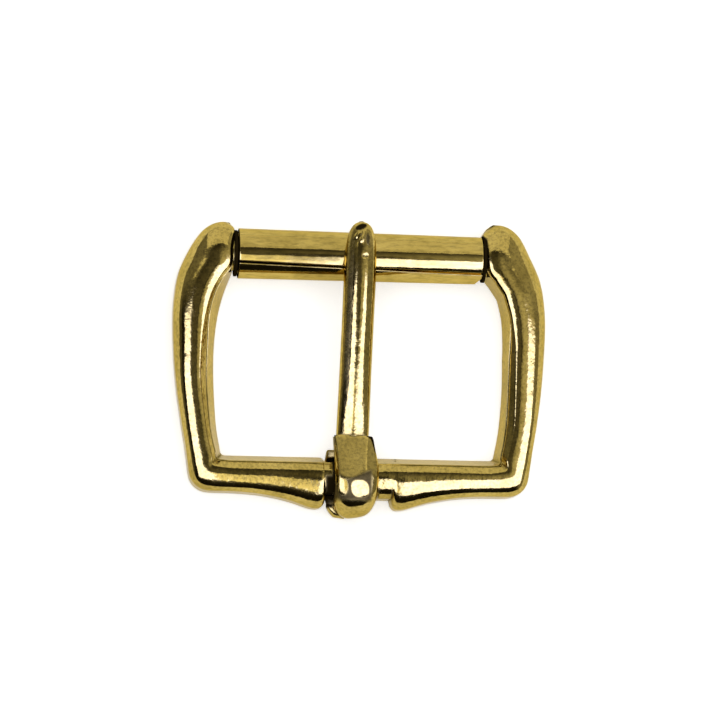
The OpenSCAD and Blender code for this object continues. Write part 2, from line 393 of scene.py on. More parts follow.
bandRows = {
    # wall, bevel and crest of the left and of the right side, row by row as above
    -1: [(0.22, 0.36, 0.4), (0.226, 0.362, 0.405), (0.23, 0.414, 0.465), (0.21, 0.4, 0.48), (0.26, 0.38, 0.58),
         (0.25, 0.36, 0.6), (0.18, 0.28, 0.56), (0.07, 0.17, 0.47), (0.03, 0.13, 0.42), (0.02, 0.1, 0.36),
         (0.02, 0.06, 0.26), (0.015, 0.04, 0.17), (0.01, 0.025, 0.1), (0.01, 0.02, 0.05), (0.005, 0.01, 0.02)],
    1: [(0.106, 0.286, 0.357), (0.1, 0.3, 0.37), (0.08, 0.27, 0.34), (0.1, 0.26, 0.38), (0.12, 0.19, 0.36),
        (0.06, 0.136, 0.31), (0.03, 0.106, 0.29), (0.02, 0.11, 0.3), (0.02, 0.11, 0.3), (0.02, 0.09, 0.28),
        (0.02, 0.06, 0.22), (0.015, 0.04, 0.17), (0.01, 0.025, 0.1), (0.01, 0.02, 0.05), (0.005, 0.01, 0.02)],
}


def armStation(row, bands, y0, yLength):
    c = castFrame
    half = c["window"] / 2
    return [
        half + row[1] * (c["bow"] if row[1] > 0 else c["faceStep"]), y0 + row[0] * yLength,
        half + row[3] * c["flank"], y0 + row[2] * yLength,
        *[share * c["barWide"] for share in bands],
        mix(c["barThick"], c["hornThick"], row[4]), row[5] * c["arch"], c["armSlope"],
        mix(*c["runShare"], min(1, row[4] / 0.4)),
    ]


def frameStations(side):
    # [inner x, y, outer x, y, wall, bevel, crest, top, back, slope of the bevel, run] round one half
    c = castFrame
    half = c["window"] / 2
    heelY = c["heelEdge"]
    bands = [share * c["barWide"] for share in c["bands"]]
    run = half - c["cornerIn"] - c["notchHalf"]
    heel = [
        [c["notchHalf"] + a * run, c["windowEdge"], c["notchHalf"] + a * run, heelY - b * c["flare"], *bands,
         c["barThick"], 0, c["barSlope"], c["runShare"][0]]
        for a, b in smoothRows(shoulderRows, 10)
    ]
    cornerX = half + c["cornerAt"] * c["flank"] - c["cornerRound"]
    corner = []
    for degrees in np.arange(0, 90.1, 2.5):
        s, k = sin(radians(degrees)), cos(radians(degrees))
        sharp = (s ** c["mitre"] + k ** c["mitre"]) ** (-1 / c["mitre"])  # the bands meet in a mitre
        corner.append([
            half - c["cornerIn"] * (1 - s), c["windowEdge"] + c["cornerIn"] * (1 - k),
            cornerX + c["cornerRound"] * s, heelY + c["cornerRound"] * (1 - k),
            *[mix(a, b * c["barWide"], s * s) * sharp for a, b in zip(bands, bandRows[side][0])],
            c["barThick"], 0, mix(c["barSlope"], c["armSlope"], s * s), c["runShare"][0],
        ])
    arms = [armStation(row, bands, 0, c["reach"]) for row, bands in zip(armRows, bandRows[side])]
    horns = [armStation(row, bands, c["reach"], c["hornReach"])
             for row, bands in zip(hornRows, bandRows[side][len(armRows):])]
    arm = smoothRows(arms + horns, 14)
    stations = np.concatenate([heel, corner, arm])
    crestLine = stations[:, :2] + (stations[:, 2:4] - stations[:, :2]) * 0.4
    return evenOut(stations, crestLine, c["stationStep"], c["stationBlur"])


def sectionPoints(wide, wall, bevel, crest, top, back, slope, runShare):
    # (across, up) from the inner foot over the crest to the outer foot and back below
    c = castFrame
    back = max(0, back)
    e = min(c["footRound"], wide / 4)
    turn = radians(c["crestTurn"])
    r = (crest - bevel) / sin(turn)
    wallTop = top - r * (1 - cos(turn)) - slope * (bevel - wall)
    flat = mix(crest, wide, runShare)
    drop = min(c["sideDrop"][0] * (wide - flat), c["sideDrop"][1] * (top - back))
    points = [(e * (1 - sin(a)), back + e * (1 - cos(a))) for a in quarter(6)]
    points += [(wall * t, mix(back + e, wallTop, t)) for t in within(14)]
    bevelEnd = (crest - r * sin(turn), top - r * (1 - cos(turn)))
    soft = min(c["grooveWide"], 0.35 * (bevel - wall))
    corner = np.array([wall, wallTop])
    down = np.array([wall, wallTop - back - e])
    down = corner - down / np.linalg.norm(down) * soft
    up = np.array(bevelEnd) - corner
    up = corner + up / np.linalg.norm(up) * soft
    sink = np.array([0.7, -0.7]) * c["groove"]
    for t in np.linspace(0, 1, 12):
        spot = (1 - t) ** 2 * down + 2 * t * (1 - t) * corner + t * t * up
        points.append(tuple(spot + sink * sin(pi * t) ** 2))
    points += [tuple(mix(up, np.array(bevelEnd), t)) for t in within(7)]
    share = min(1, (flat - crest) / 0.6)
    rise, crown = radians(c["crownIn"]) * share, radians(c["crownOut"]) * share
    points += [(crest - r * sin(a), top - r * (1 - cos(a))) for a in np.linspace(turn, rise, 10)]
    start, high = points[-1]
    run = flat - start
    points += [(start + run * t, high + run * (tan(rise) * (t - t * t / 2) - tan(crown) * t * t / 2))
               for t in within(12)]
    fall = top - high - run * (tan(rise) - tan(crown)) / 2
    for a in np.linspace(crown, pi / 2, 31):
        turned = (sin(a) - sin(crown)) / (1 - sin(crown))
        sunk = 1 - cos(a) / cos(crown)
        points.append((flat + (wide - flat) * turned, top - fall - drop * sunk))
    points += [(wide, mix(top - fall - drop, back + e, t)) for t in within(9)]
    points += [(wide - e * (1 - cos(a)), back + e * (1 - sin(a))) for a in quarter(6)]
    points += [(mix(wide - e, e, t), back) for t in within(9)]
    return np.array(points)


def shrunk(points, amount):
    # outline moved inwards by the same amount all round
    before, after = np.roll(points, 1, axis=0), np.roll(points, -1, axis=0)
    along = after - before
    along /= np.maximum(np.linalg.norm(along, axis=1), 1e-9)[:, None]
    inward = np.stack([along[:, 1], -along[:, 0]], axis=1)
    area = 0.5 * np.sum(points[:, 0] * after[:, 1] - after[:, 0] * points[:, 1])
    if area > 0:
        inward = -inward
    return points + inward * amount


def placed(station, amount):
    start, end = np.array(station[:2]), np.array(station[2:4])
    wide = np.linalg.norm(end - start)
    across = (end - start) / wide
    points = sectionPoints(wide, *station[4:11])
    if amount:
        points = shrunk(points, amount)
    return np.column_stack([start + across * points[:, :1], points[:, 1]])


def halfFrame(side):
    c = castFrame
    rings = []
    for station in frameStations(side):
        if side > 0:
            station[0] += np.interp(station[1], *c["leanRight"])
            station[3] += np.interp(station[3], *c["noseRight"])
            station[9] = min(station[9], c["slopeRight"])
        into = c["notchHalf"] + c["endRound"] - station[0]
        onBar = station[1] < c["windowEdge"] + 0.01 and station[0] < 12
        amount = 0
        if onBar and into > 0:
            amount = c["endRound"] - sqrt(max(0, c["endRound"] ** 2 - min(into, c["endRound"]) ** 2))
        rings.append(placed(station, amount))
    ahead = np.array([-0.6, 0.8, 0]) * c["noseAhead"]
    middle = rings[-1].mean(axis=0)
    nose = rings[-1] - middle
    for a in np.radians(c["noseTurns"]):
        rings.append(middle + nose * cos(a) + ahead * sin(a))
    rings = [ring * [side, 1, 1] for ring in rings]
    for ring in rings:
        low = np.clip(1 - ring[:, 1] / c["lowTo"], 0, 1)
        ring[:, 0] += c["lowShift"] * low * ease(np.abs(ring[:, 0]), *c["lowFrom"])
    return newObject("half", loftMesh("half", rings))


def plainBar(x0, x1, wide):
    c = castFrame
    points = sectionPoints(wide, *[share * c["barWide"] for share in c["bands"]], c["barThick"], 0, c["barSlope"],
                           c["runShare"][0])
    xs = np.linspace(x0, x1, int((x1 - x0) / 0.3) + 2)
    return newObject("bar", loftMesh("bar", [[(x, c["windowEdge"] - p[0], p[1]) for p in points] for x in xs]))


def buildFrame():
    c = castFrame
    casting = halfFrame(1)
    casting.name = casting.data.name = "frameCasting"
    barWide = c["windowEdge"] - c["heelEdge"]
    pinEnd = c["notchHalf"] + c["pinInto"]
    pin = barAlongX("pin", -pinEnd, pinEnd, 0, c["hingeHigh"], c["pinRound"])
    cut = pin.modifiers.new("front", "BOOLEAN")
    cut.operation, cut.solver = "INTERSECT", "MANIFOLD"
    front = cut.object = plainBar(-c["frontHalf"], c["frontHalf"], barWide + c["frontDeep"] * c["flare"])
    applied(pin)
    bpy.data.objects.remove(front)
    faceX = c["window"] / 2 - c["faceStep"]
    axleEnd = faceX + c["axleInto"]
    axle = barAlongX("axle", -axleEnd, axleEnd, c["reach"], c["axleHigh"], c["axleRound"])
    step = plainBar(c["stepFrom"], c["notchHalf"] + c["stepInto"], barWide + c["stepDeep"] * c["flare"])
    # seats of the axle, whose dark paint stands for the shade in the gaps at the roller's ends
    seatEnds = (
        (-faceX - c["bossInto"], c["bossGap"] - faceX),
        (faceX - c["bossRight"] - c["bossGap"], faceX - c["bossRight"] + c["bossInto"]),
    )
    shadeSeats = [barAlongX("boss", x0, x1, c["reach"], c["axleHigh"], c["bossRound"], step=0.1) for x0, x1 in seatEnds]
    return joined(casting, [halfFrame(-1), pin, axle, step, *shadeSeats])


frameCasting = buildFrame()
lumps(frameCasting.data, castFrame["lumps"], 1)
smoothShading(frameCasting.data, castFrame["sharpFrom"])

frameDark = {
    # where the painted shade, or what is kept bare of tarnish, starts and where it is full, or the other way round
    "seatHalf": (17.54, 17.6),
    "seatRound": (3.3, 3.5),
    "seatBeyond": (8, 9),
    "notchLeft": (-4.75, -4.5),
    "notchRight": (-3.3, -3.1),
    "notchFront": (-0.2, 0.4),
    "notchHigh": (1.6, 2.4),
    "contactShadeLeft": (-3.95, -3.75),
    "pinHalf": (5.6, 5.8),
    "pinFront": (-1.7, -1.5),
    "pinHigh": (3, 3.5),
    "hornHalf": (17.5, 17.56),
    "hornRound": (4.0, 4.4),
}


def frameShade(x, y, z):
    # painted shade on the axle's seats, in the notch left of the collar and on the bar beside the collar, where the
    # contact shadow falls
    c, d = castFrame, frameDark
    away = np.hypot(y - c["reach"], z - c["axleHigh"])
    # painted shade on the axle's seats
    seatShade = fade(np.abs(x - c["seatX"]), *d["seatHalf"]) * fade(away, *d["seatRound"])
    seatShade *= ease(np.abs(x), *d["seatBeyond"])
    # painted shade in the notch left of the collar
    notchShade = ease(x, *d["notchLeft"]) * fade(x, *d["notchRight"]) * fade(y, *d["notchFront"])
    notchShade *= ease(z, *d["notchHigh"])
    # painted contact shadow on the bar beside the collar's left side
    contactShade = ease(x, *d["contactShadeLeft"]) * fade(x, *d["notchRight"])
    return np.maximum.reduce([seatShade, notchShade, contactShade])


def frameBare(x, y, z):
    # joints between the bodies of the casting that were filed smooth
    c, d = castFrame, frameDark
    away = np.hypot(y - c["reach"], z - c["axleHigh"])
    atPin = fade(np.abs(x), *d["pinHalf"]) * ease(y, *d["pinFront"]) * ease(z, *d["pinHigh"])
    atHorns = ease(np.abs(x - c["seatX"]), *d["hornHalf"]) * fade(away, *d["hornRound"])
    return np.maximum(atPin, atHorns)


patinaAndShade(frameCasting.data, frameShade, frameBare)
print("frame casting:", len(frameCasting.data.polygons), "faces")

# the roller of rolled sheet
rolledSheet = {
    "length": 33.75,
    "shift": -0.2,  # it lies nearer to the left horn
    "lower": -0.09,
    "tilt": -0.16,  # its right end lies this much nearer to the heel bar
    "radius": 3.38,  # outside
    "sheet": 0.72,
    "seam": 0.3,
    "seamTurn": 35.0,  # degrees from the front towards the heel bar
    "twist": 15.0,  # degrees that the seam runs off over the length
    "taper": 0.032,  # the left end is this share larger than the middle
    "clipLong": 0.85,  # clipped corner under the right end
    "clipAround": (0.05, 0.2),  # between these shares of the way round, and softly
    "clipSoft": 0.12,
    "flat": 0.9,  # how flat the lower flap is pressed at the right
    "flatTurn": 0.47,  # radians from the flap's edge to the middle of the flat
    "flatWide": 0.22,  # square of its half width in radians
    "flatFrom": 0.55,  # share of the length where it starts, and how fast it comes
    "flatRise": 4.0,
    "dent": 0.02,
    "dentScale": 3.0,
    "dentAlong": 4.0,
    "edge": 0.09,
    "points": (150, 120),  # of the sheet, along and around
    "endShade": (16.84, 16.87),  # the faces of its ends carry painted shade from here out
    "sharpFrom": 40,
}


def rollerTree():
    r = rolledSheet
    tree = bpy.data.node_groups.new("rolledSheet", "GeometryNodeTree")
    tree.interface.new_socket("Geometry", in_out="OUTPUT", socket_type="NodeSocketGeometry")
    sockets = {}
    for name in ("Length", "Radius", "Seam angle", "Gap angle", "Twist", "Taper", "Clip length", "Flat", "Dent"):
        sockets[name] = tree.interface.new_socket(name, in_out="INPUT", socket_type="NodeSocketFloat").identifier
    sockets["Material"] = tree.interface.new_socket(
        "Material", in_out="INPUT", socket_type="NodeSocketMaterial").identifier
    given = tree.nodes.new("NodeGroupInput").outputs
    math = partial(mathNode, tree)
    times, plus, minus, divided, lower, higher = arithmetic(tree)

    def clamped(value):
        return lower(higher(value, 0.0), 1.0)

    grid = addNode(tree, "GeometryNodeMeshGrid", 1.0, 1.0, *r["points"])
    place = addNode(tree, "ShaderNodeSeparateXYZ", tree.nodes.new("GeometryNodeInputPosition").outputs[0]).outputs
    along = plus(place[0], 0.5)  # 0 at the left end
    around = plus(place[1], 0.5)  # 0 at the lower flap's edge

    # where each point lies round the axis
    covered = minus(2 * pi, given["Gap angle"])
    angle = plus(plus(times(around, covered), times(given["Gap angle"], 0.5)), given["Seam angle"])
    angle = plus(angle, times(given["Twist"], place[0]))
    sine, cosine = math("SINE", angle), math("COSINE", angle)

    # along the axis, shorter where the corner is clipped
    ramps = [clamped(divided(minus(around, first), r["clipSoft"])) for first in r["clipAround"]]
    end = minus(given["Length"], times(minus(*ramps), given["Clip length"]))
    x = minus(times(along, end), times(given["Length"], 0.5))

    # and away from the axis: tapered, dented, and pressed flat at the right
    taper = times(given["Taper"], times(place[0], 2.0))
    radius = times(given["Radius"], minus(1.0, taper))
    wide = addNode(tree, "ShaderNodeCombineXYZ", times(along, r["dentAlong"]), sine, cosine)
    wave = noiseNode(tree, wide.outputs[0], r["dentScale"], 1.0)
    radius = plus(radius, times(minus(wave, 0.5), given["Dent"]))
    off = minus(times(around, 2 * pi), r["flatTurn"])
    chord = higher(minus(r["flatWide"], times(off, off)), 0.0)
    atRight = clamped(times(minus(along, r["flatFrom"]), r["flatRise"]))
    chord = times(times(chord, atRight), times(given["Flat"], 0.5))
    radius = minus(radius, times(radius, chord))

    spot = addNode(tree, "ShaderNodeCombineXYZ", x, times(radius, times(sine, -1.0)), times(radius, cosine))
    roll = tree.nodes.new("GeometryNodeSetPosition")
    feedNamed(tree, roll, {"Geometry": grid.outputs["Mesh"], "Position": spot.outputs[0]})
    smooth = addNode(tree, "GeometryNodeSetShadeSmooth", roll.outputs[0])
    real = addNode(tree, "GeometryNodeRealizeInstances", smooth.outputs[0])
    dress = addNode(tree, "GeometryNodeSetMaterial", real.outputs[0])
    feedNamed(tree, dress, {"Material": given["Material"]})
    addNode(tree, "NodeGroupOutput", dress.outputs[0])
    return tree, sockets


def buildRoller(material):
    r = rolledSheet
    tree, sockets = rollerTree()
    obj = newObject("rollerSheet", bpy.data.meshes.new("rollerSheet"))
    rule = obj.modifiers.new("roll", "NODES")
    rule.node_group = tree
    values = {
        "Length": r["length"] * mm,
        "Radius": (r["radius"] - r["sheet"] / 2) * mm,  # the sheet's middle
        "Seam angle": radians(r["seamTurn"]),
        "Gap angle": r["seam"] / r["radius"],
        "Twist": radians(r["twist"]),
        "Taper": r["taper"],
        "Clip length": r["clipLong"] * mm,
        "Flat": r["flat"],
        "Dent": r["dent"] * mm,
        "Material": material,
    }
    for name, value in values.items():
        rule[sockets[name]] = value
    wall = obj.modifiers.new("wall", "SOLIDIFY")
    wall.thickness = r["sheet"] * mm
    wall.offset = 0
    rounding = obj.modifiers.new("edges", "BEVEL")
    rounding.width = r["edge"] * mm
    rounding.segments = 3
    rounding.limit_method = "ANGLE"
    rounding.angle_limit = radians(50)
    applied(obj)
    shift = Vector((r["shift"], castFrame["reach"] + r["lower"] - hingeToMiddle, castFrame["axleHigh"])) * mm
    lean = Matrix.Identity(4)
    lean[1][0] = r["tilt"] / r["length"]
    obj.data.transform(Matrix.Translation(shift) @ lean)
    cleanMesh(obj.data)
    return obj


# the cast prong, with its collar, tail and foot
castProng = {
    "wide": 4.5,
    "thick": 2.3,
    "tipReach": 4.3,
    "tipCurl": 2.5,
    "stationStep": 0.2,
    "stationBlur": 0.25,
    "rootX": -1.22,
    "tipX": -0.33,
    "rest": 7.4,  # height of the shank's underside on the roller
    "under": 5.085,  # height of its underside at the collar
    "underFrom": 0.12,  # share of its length from which the underside climbs, and over which share
    "underOver": 0.64,
    "tipLow": 6.0,
    "top": 6.75,  # height of its top at the collar
    "collarWide": 6.0,
    "collarX": -0.5,
    "collarLong": 5.6,
    "crestX": -1.7,  # where the collar's top is highest, and how round it is across
    "crestRound": 9.0,
    # struck marks on the tip: from, to, half width, height
    "marks": (
        ((-1.3, 32.7), (-0.75, 33.3), 0.26, 0.14),
        ((-0.5, 32.1), (-0.1, 33.4), 0.22, 0.16),
        ((-0.65, 34.0), (-0.05, 34.25), 0.3, -0.3),
        ((-0.2, 29.95), (0.15, 29.95), 0.24, -0.12),
    ),
    "chamfer": (0.42, 0.22),  # along the collar's left and right side
    "chamferDeep": 1.5,
    "chamferSoft": 0.05,
    "collarReach": 5.65,
    "cornerRound": (2.3, 1.6),  # the collar's heel corners, left and right
    "rightFrom": 0.2,  # from here to the right the collar's top falls off faster
    "rightFall": 0.07,
    "shankFrom": 1.6,  # its way to the shank starts here, and is this long
    "shankOver": 4,
    "narrow": (-0.08, 0.32),  # how far its sides draw in on that way, left and right
    "plainer": 0.6,  # and how much its roundness goes
    "heelFrom": 1.5,
    "sideSteps": (0, 0.05, 0.1, 0.17, 0.24, 0.31, 0.37, 0.42, 0.46, 0.5,
                  0.54, 0.58, 0.64, 0.71, 0.8, 0.92, 1.06, 1.2),  # rings from each side in, then evenly
    "sideRest": (1.35, 26),
    "flat": ((-2.0, -0.42, 8.36), (0.015, 0.235, 1)),  # place and direction of the flat filed on the top
    "bore": 2.57,
    "tailRound": 3.77,
    "tailWide": 4.6,
    "tailX": -4.45,
    "tailEdge": 0.3,  # rounding of its edges
    "tailEnd": 6,  # degrees round the hinge where it ends
    "tailTrim": 0.35,
    "footX": -4.2,
    "footHigh": 1.36,
    "footHalf": 1.3,
    "lumps": ((2.6, 0.01), (1.1, 0.004), (0.6, 0.0015)),
    "sharpFrom": 40,
}
shankRows = [
    # along, width, rise, curl
    (0.07, 1, 0, 0), (0.17, 1, 0.1, 0), (0.3, 0.99, 0.32, 0), (0.46, 0.98, 0.58, 0), (0.62, 0.98, 0.82, 0),
    (0.76, 0.99, 0.97, 0), (0.85, 0.97, 1, 0), (0.905, 0.91, 1, 0.02), (0.945, 0.8, 1, 0.08),
    (0.975, 0.63, 1, 0.24), (0.993, 0.4, 1, 0.55), (1, 0.2, 1, 0.85),
]
collarRows = [
    # the collar's outline from the shank over its crest to its foot: y, z
    (5.6, 7.17), (4.9, 7.34), (3.5, 7.67), (1.5, 8.15), (0.6, 8.33), (0.0, 8.39), (-0.5, 8.38), (-1.2, 8.27),
    (-2.0, 8.08), (-2.9, 7.76), (-3.7, 7.3), (-4.4, 6.67), (-5.0, 5.8), (-5.45, 4.7), (-5.65, 3.5), (-5.5, 2.2),
    (-4.8, 1.0), (-3.8, 0.35), (-2.9, 0.07), (-2.4, 0.03),
]
footRows = ((0, 0.5, 1, 2.5), (-3.55, -3.8, -4.0, -4.1), (0.6, 1.05, 1.35, 1.45))  # along, its middle, half width
tipY = castFrame["reach"] + castProng["tipReach"]


def crownOf(turns):
    # (across, sunk) in shares, from the angle of the surface at each place across
    across = np.linspace(0, 1, 60)
    slopes = np.tan(np.radians(np.interp(across, *turns)))
    sunk = np.concatenate([[0], np.cumsum((slopes[1:] + slopes[:-1]) / 2 * np.diff(across))])
    right = list(zip(across, sunk / sunk[-1]))
    return right[::-1] + [(-u, s) for u, s in right[1:]]


shankCrown = crownOf(((0, 0.08, 0.33, 0.4, 0.72, 0.86, 0.96, 1), (0, 4, 27, 35, 43, 56, 74, 83)))


def shankRing(row, shrink=1.0, push=0.0):
    p, c = castProng, castFrame
    y = row[0] * tipY
    x = mix(p["rootX"], p["tipX"], row[0])
    half = row[1] * p["wide"] / 2
    top = mix(p["top"], p["rest"] + p["thick"], row[2]) - row[3] * p["tipCurl"]
    if y < c["reach"]:
        under = mix(p["under"], p["rest"], min(1, max(0, (row[0] - p["underFrom"]) / p["underOver"])))
    else:
        under = max(p["tipLow"], c["axleHigh"] + sqrt(max(0, (p["rest"] - c["axleHigh"]) ** 2 - (y - c["reach"]) ** 2)))
    low = min(under, top - 0.5)
    drop = min(0.84 * half, 0.86 * (top - low))  # the round top goes down to here
    e = min(0.35, 0.3 * half, 0.1 * (top - low))
    points = [(half * u, top - drop * sunk) for u, sunk in shankCrown]
    points += [(-half, mix(top - drop, low + e, t)) for t in (0.33, 0.66)]
    points += [(-half + e * (1 - cos(a)), low + e * (1 - sin(a))) for a in quarter(5)]
    points += [(mix(-half + e, half - e, t), low) for t in within(9)]
    points += [(half - e * (1 - sin(a)), low + e * (1 - cos(a))) for a in quarter(5)]
    points += [(half, mix(low + e, top - drop, t)) for t in (0.33, 0.66)]
    points = np.array(points)
    centre = points.mean(axis=0)
    points = centre + (points - centre) * shrink
    return [(x + a, y + push, z) for a, z in points]


def struckTip(mesh):
    # ridges and pits that the cropping and hammering left on the tip
    places = surfaceOf(mesh)[0]
    x, y = places[:, 0] / mm, places[:, 1] / mm + hingeToMiddle
    up = ease(places[:, 2] / mm, 7.5, 8.2)
    rise = np.zeros(len(places))
    for (x0, y0), (x1, y1), wide, high in castProng["marks"]:
        length = hypot(x1 - x0, y1 - y0)
        ux, uy = (x1 - x0) / length, (y1 - y0) / length
        t = np.clip((x - x0) * ux + (y - y0) * uy, 0, length)
        away = np.hypot(x - x0 - ux * t, y - y0 - uy * t)
        rise += high * np.exp(-(away / wide) ** 2)
    places[:, 2] += rise * up * mm
    movePoints(mesh, places)


def buildShank():
    rows = smoothRows(shankRows, 14)
    path = np.column_stack([rows[:, 0] * tipY, rows[:, 3] * castProng["tipCurl"], rows[:, 1] * castProng["wide"] / 2])
    rows = evenOut(rows, path, castProng["stationStep"], castProng["stationBlur"])
    rings = [shankRing(row) for row in rows]
    rings += [shankRing(rows[-1], shrink, push) for shrink, push in ((0.85, 0.06), (0.6, 0.1), (0.3, 0.12))]
    shank = newObject("shank", loftMesh("shank", rings))
    struckTip(shank.data)
    return shank


def collarOutline():
    # ring of (y, z), seen along the hinge, and how much each point draws in at the collar's sides
    p, c = castProng, castFrame
    hinge = c["hingeHigh"]
    low = hinge - p["tailRound"]
    outer = [(p["collarLong"], z) for z in np.linspace(p["under"], collarRows[0][1], 10)[:-1]]
    outer += [tuple(row) for row in smoothRows(collarRows, 7)]
    outer += [(mix(collarRows[-1][0], 0, t), low) for t in np.linspace(0, 1, 16)[1:]]
    inner = [(0, mix(low, hinge - p["bore"], t)) for t in within(8)]
    end = atan2(p["under"] - hinge, sqrt(p["bore"] ** 2 - (p["under"] - hinge) ** 2))
    inner += [(p["bore"] * cos(a), hinge + p["bore"] * sin(a))
              for a in np.linspace(-pi / 2, -2 * pi + end, 70)]
    inner += [(mix(inner[-1][0], p["collarLong"], t), p["under"]) for t in within(22)]
    draw = [1.0] * len(outer) + [0.2] * len(inner)
    return np.array(outer + inner), np.array(draw)


def filed(points, place, direction, soft=0.03):
    # a flat that a file left: nothing stands above this plane
    direction = np.array(direction, float)
    direction /= np.linalg.norm(direction)
    over = (points - np.array(place)) @ direction
    over = soft * np.logaddexp(0, over / soft)
    over[over < 1e-4] = 0
    return points - direction * over[:, None]


def buildCollar():
    p = castProng
    outline, draw = collarOutline()
    half = p["collarWide"] / 2
    near = np.array(p["sideSteps"])
    first, steps = p["sideRest"]
    sides = np.concatenate([near, np.linspace(first, 2 * half - first, steps), (2 * half - near)[::-1]])
    along = np.roll(outline, -1, axis=0) - np.roll(outline, 1, axis=0)
    along /= np.linalg.norm(along, axis=1)[:, None]
    inward = np.stack([-along[:, 1], along[:, 0]], axis=1)
    isTop = np.where(draw > 0.5, 1, 0)

    def toShank(y):
        return np.clip((y - p["shankFrom"]) / p["shankOver"], 0, 1)

    less = 1 - p["plainer"] * toShank(outline[:, 0])
    atHeel = np.clip((-outline[:, 0] - p["heelFrom"]) / (p["collarReach"] - p["heelFrom"]), 0, 1) * isTop
    rings = []
    for s in sides:
        side = 0 if s < half else 1
        edge = min(s, 2 * half - s)
        inset = np.logaddexp(0, (p["chamfer"][side] - edge) / p["chamferSoft"])
        inset = p["chamferDeep"] * p["chamferSoft"] * inset + 0.5 * max(0, 0.12 - edge)
        cornerRound = p["cornerRound"][side]
        cut = cornerRound - sqrt(max(0, cornerRound ** 2 - max(0, cornerRound - edge) ** 2))
        x = p["collarX"] - half + s
        crown = (x - p["crestX"]) ** 2 / (2 * p["crestRound"]) + p["rightFall"] * max(0, x - p["rightFrom"]) ** 2
        points = outline + inward * ((draw * inset + isTop * crown) * less)[:, None]
        points[:, 0] += np.maximum(0, cut - inset) * atHeel
        aside = x - p["collarX"]
        narrow = 1 - p["narrow"][1 if aside > 0 else 0] * toShank(points[:, 0])
        rings.append(np.column_stack([p["collarX"] + aside * narrow, points]))
    count = len(outline)
    points = filed(np.concatenate(rings), *p["flat"])
    faces = skinFaces(len(rings), count)
    faces.append(tuple(range(count))[::-1])
    faces.append(tuple(range(len(points) - count, len(points))))
    mesh = bpy.data.meshes.new("collar")
    mesh.from_pydata([tuple(v) for v in toRow(points)], [], faces)
    work = bmesh.new()
    work.from_mesh(mesh)
    ends = [face for face in work.faces if len(face.verts) > 4]
    bmesh.ops.triangulate(work, faces=ends)
    work.to_mesh(mesh)
    work.free()
    return newObject("collar", cleanMesh(mesh))


def buildTail():
    # the strip that is bent behind the bar, its end rounded
    p, c = castProng, castFrame
    thick, e = p["tailRound"] - p["bore"], p["tailEdge"]
    corners = [(e, e), (p["tailWide"] - e, e), (p["tailWide"] - e, thick - e), (e, thick - e)]
    profile = [
        (u + e * cos(start + b), v + e * sin(start + b))
        for (u, v), start in zip(corners, (pi, 1.5 * pi, 0, 0.5 * pi)) for b in quarter(5)
    ]
    end = p["tailEnd"]
    rings = []
    for degrees in np.concatenate([[-172, -170], np.linspace(-166, end - 4, 90), [end - 2, end]]):
        a = radians(degrees)
        near = min(abs(degrees - end), 12) / 12
        trim = p["tailTrim"] * (1 - sqrt(1 - (1 - near) ** 2)) if degrees > 0 else 0
        ring = []
        for u, v in profile:
            u = mix(u, p["tailWide"] / 2, trim / p["tailWide"] * 2)
            radius = p["bore"] + mix(v, thick / 2, trim / thick)
            ring.append((p["tailX"] + u, radius * cos(a), c["hingeHigh"] + radius * sin(a)))
        rings.append(ring)
    return newObject("tail", loftMesh("tail", rings))


def buildFoot():
    # low foot of the collar that spreads to the left
    p = castProng
    turns = np.linspace(0, 2 * pi, 40, endpoint=False)
    rings = []
    for s in [0.0, 0.03, 0.07, 0.13, 0.2, 0.3, 0.45, 0.62, 0.8, 1.0, 1.3, 1.7, 2.1, 2.5]:
        grow = sqrt(1 - max(0.0, 1 - s / 0.3) ** 2) if s < 0.3 else 1.0
        middle, half = [np.interp(s, footRows[0], row) for row in footRows[1:]]
        ring = []
        for t in turns:
            u, v = cos(t), sin(t)
            size = (abs(u) ** 3 + abs(v) ** 3) ** (-1 / 3)
            ring.append((p["footX"] + s, middle + half * (0.25 + 0.75 * grow) * u * size,
                         p["footHigh"] + p["footHalf"] * (0.1 + 0.9 * grow) * v * size))
        rings.append(ring)
    return newObject("foot", loftMesh("foot", rings))


def buildProng():
    prong = joined(buildCollar(), [buildShank(), buildTail(), buildFoot()])
    prong.name = prong.data.name = "prongCasting"
    return prong


prongCasting = buildProng()
lumps(prongCasting.data, castProng["lumps"], 2)
smoothShading(prongCasting.data, castProng["sharpFrom"])

prongDark = {
    "tail": 0.55,  # how dark the tail, the crack, the shank's left flank, the collar's end and its flat get; the tail, the flank, the end and the flat are painted shade
    "crack": 0.85,
    "flank": 0.36,
    "end": 0.86,
    "flat": 0.24,
    # and where, or from where to where
    "tailLeft": (-3.65, -3.55),
    "tailFrom": (1.0, 2.0),
    "boreRound": (2.6, 2.65),
    "pitAt": (-0.55, 34.1),
    "pitSize": (0.95, 0.45),
    "pitTurn": (0.9, 0.43),
    "pitEdge": (0.8, 1.1),
    "pitHigh": (6, 6.5),
    "crackAt": (0.35, 32.4),
    "crackSize": (0.3, 0.9),
    "crackEdge": (0.7, 1.2),
    "crackHigh": (7, 7.5),
    "flankNear": (0.95, 1.2),
    "flankFar": (1.9, 2.05),
    "flankFrom": (9, 17),
    "endLine": (-2.17, -0.61, 0.43),  # the collar's end carries painted shade below this line: x, y, slope
    "endEdge": (-0.1, 0.4),
    "endLow": (-3.9, -3.0),
    "endX": -1.05,
    "endHalf": (2.25, 2.8),
    "endHigh": (4.5, 5),
    "spotEdge": (0.85, 1.25),
    "spotPower": 2.6,  # 2 is an ellipse, more is squarer
    "flatEdge": (-0.12, -0.04),
    "flatTo": (4.8, 5.5),
    "footLeft": (-3.5, -3.4),
    "footFrom": (-4.3, -4.0),
    "footTo": (-1.0, -0.5),
    "footHigh": (0.5, 0.9),
    # places on the collar's end kept free of the painted shade, where the lamps' highlights show: x, y, half width,
    # half length, slant
    "spots": ((-2.5, -1.75, 0.62, 1.05, 0), (-0.15, -1.9, 1.22, 1.15, 0.12)),
}


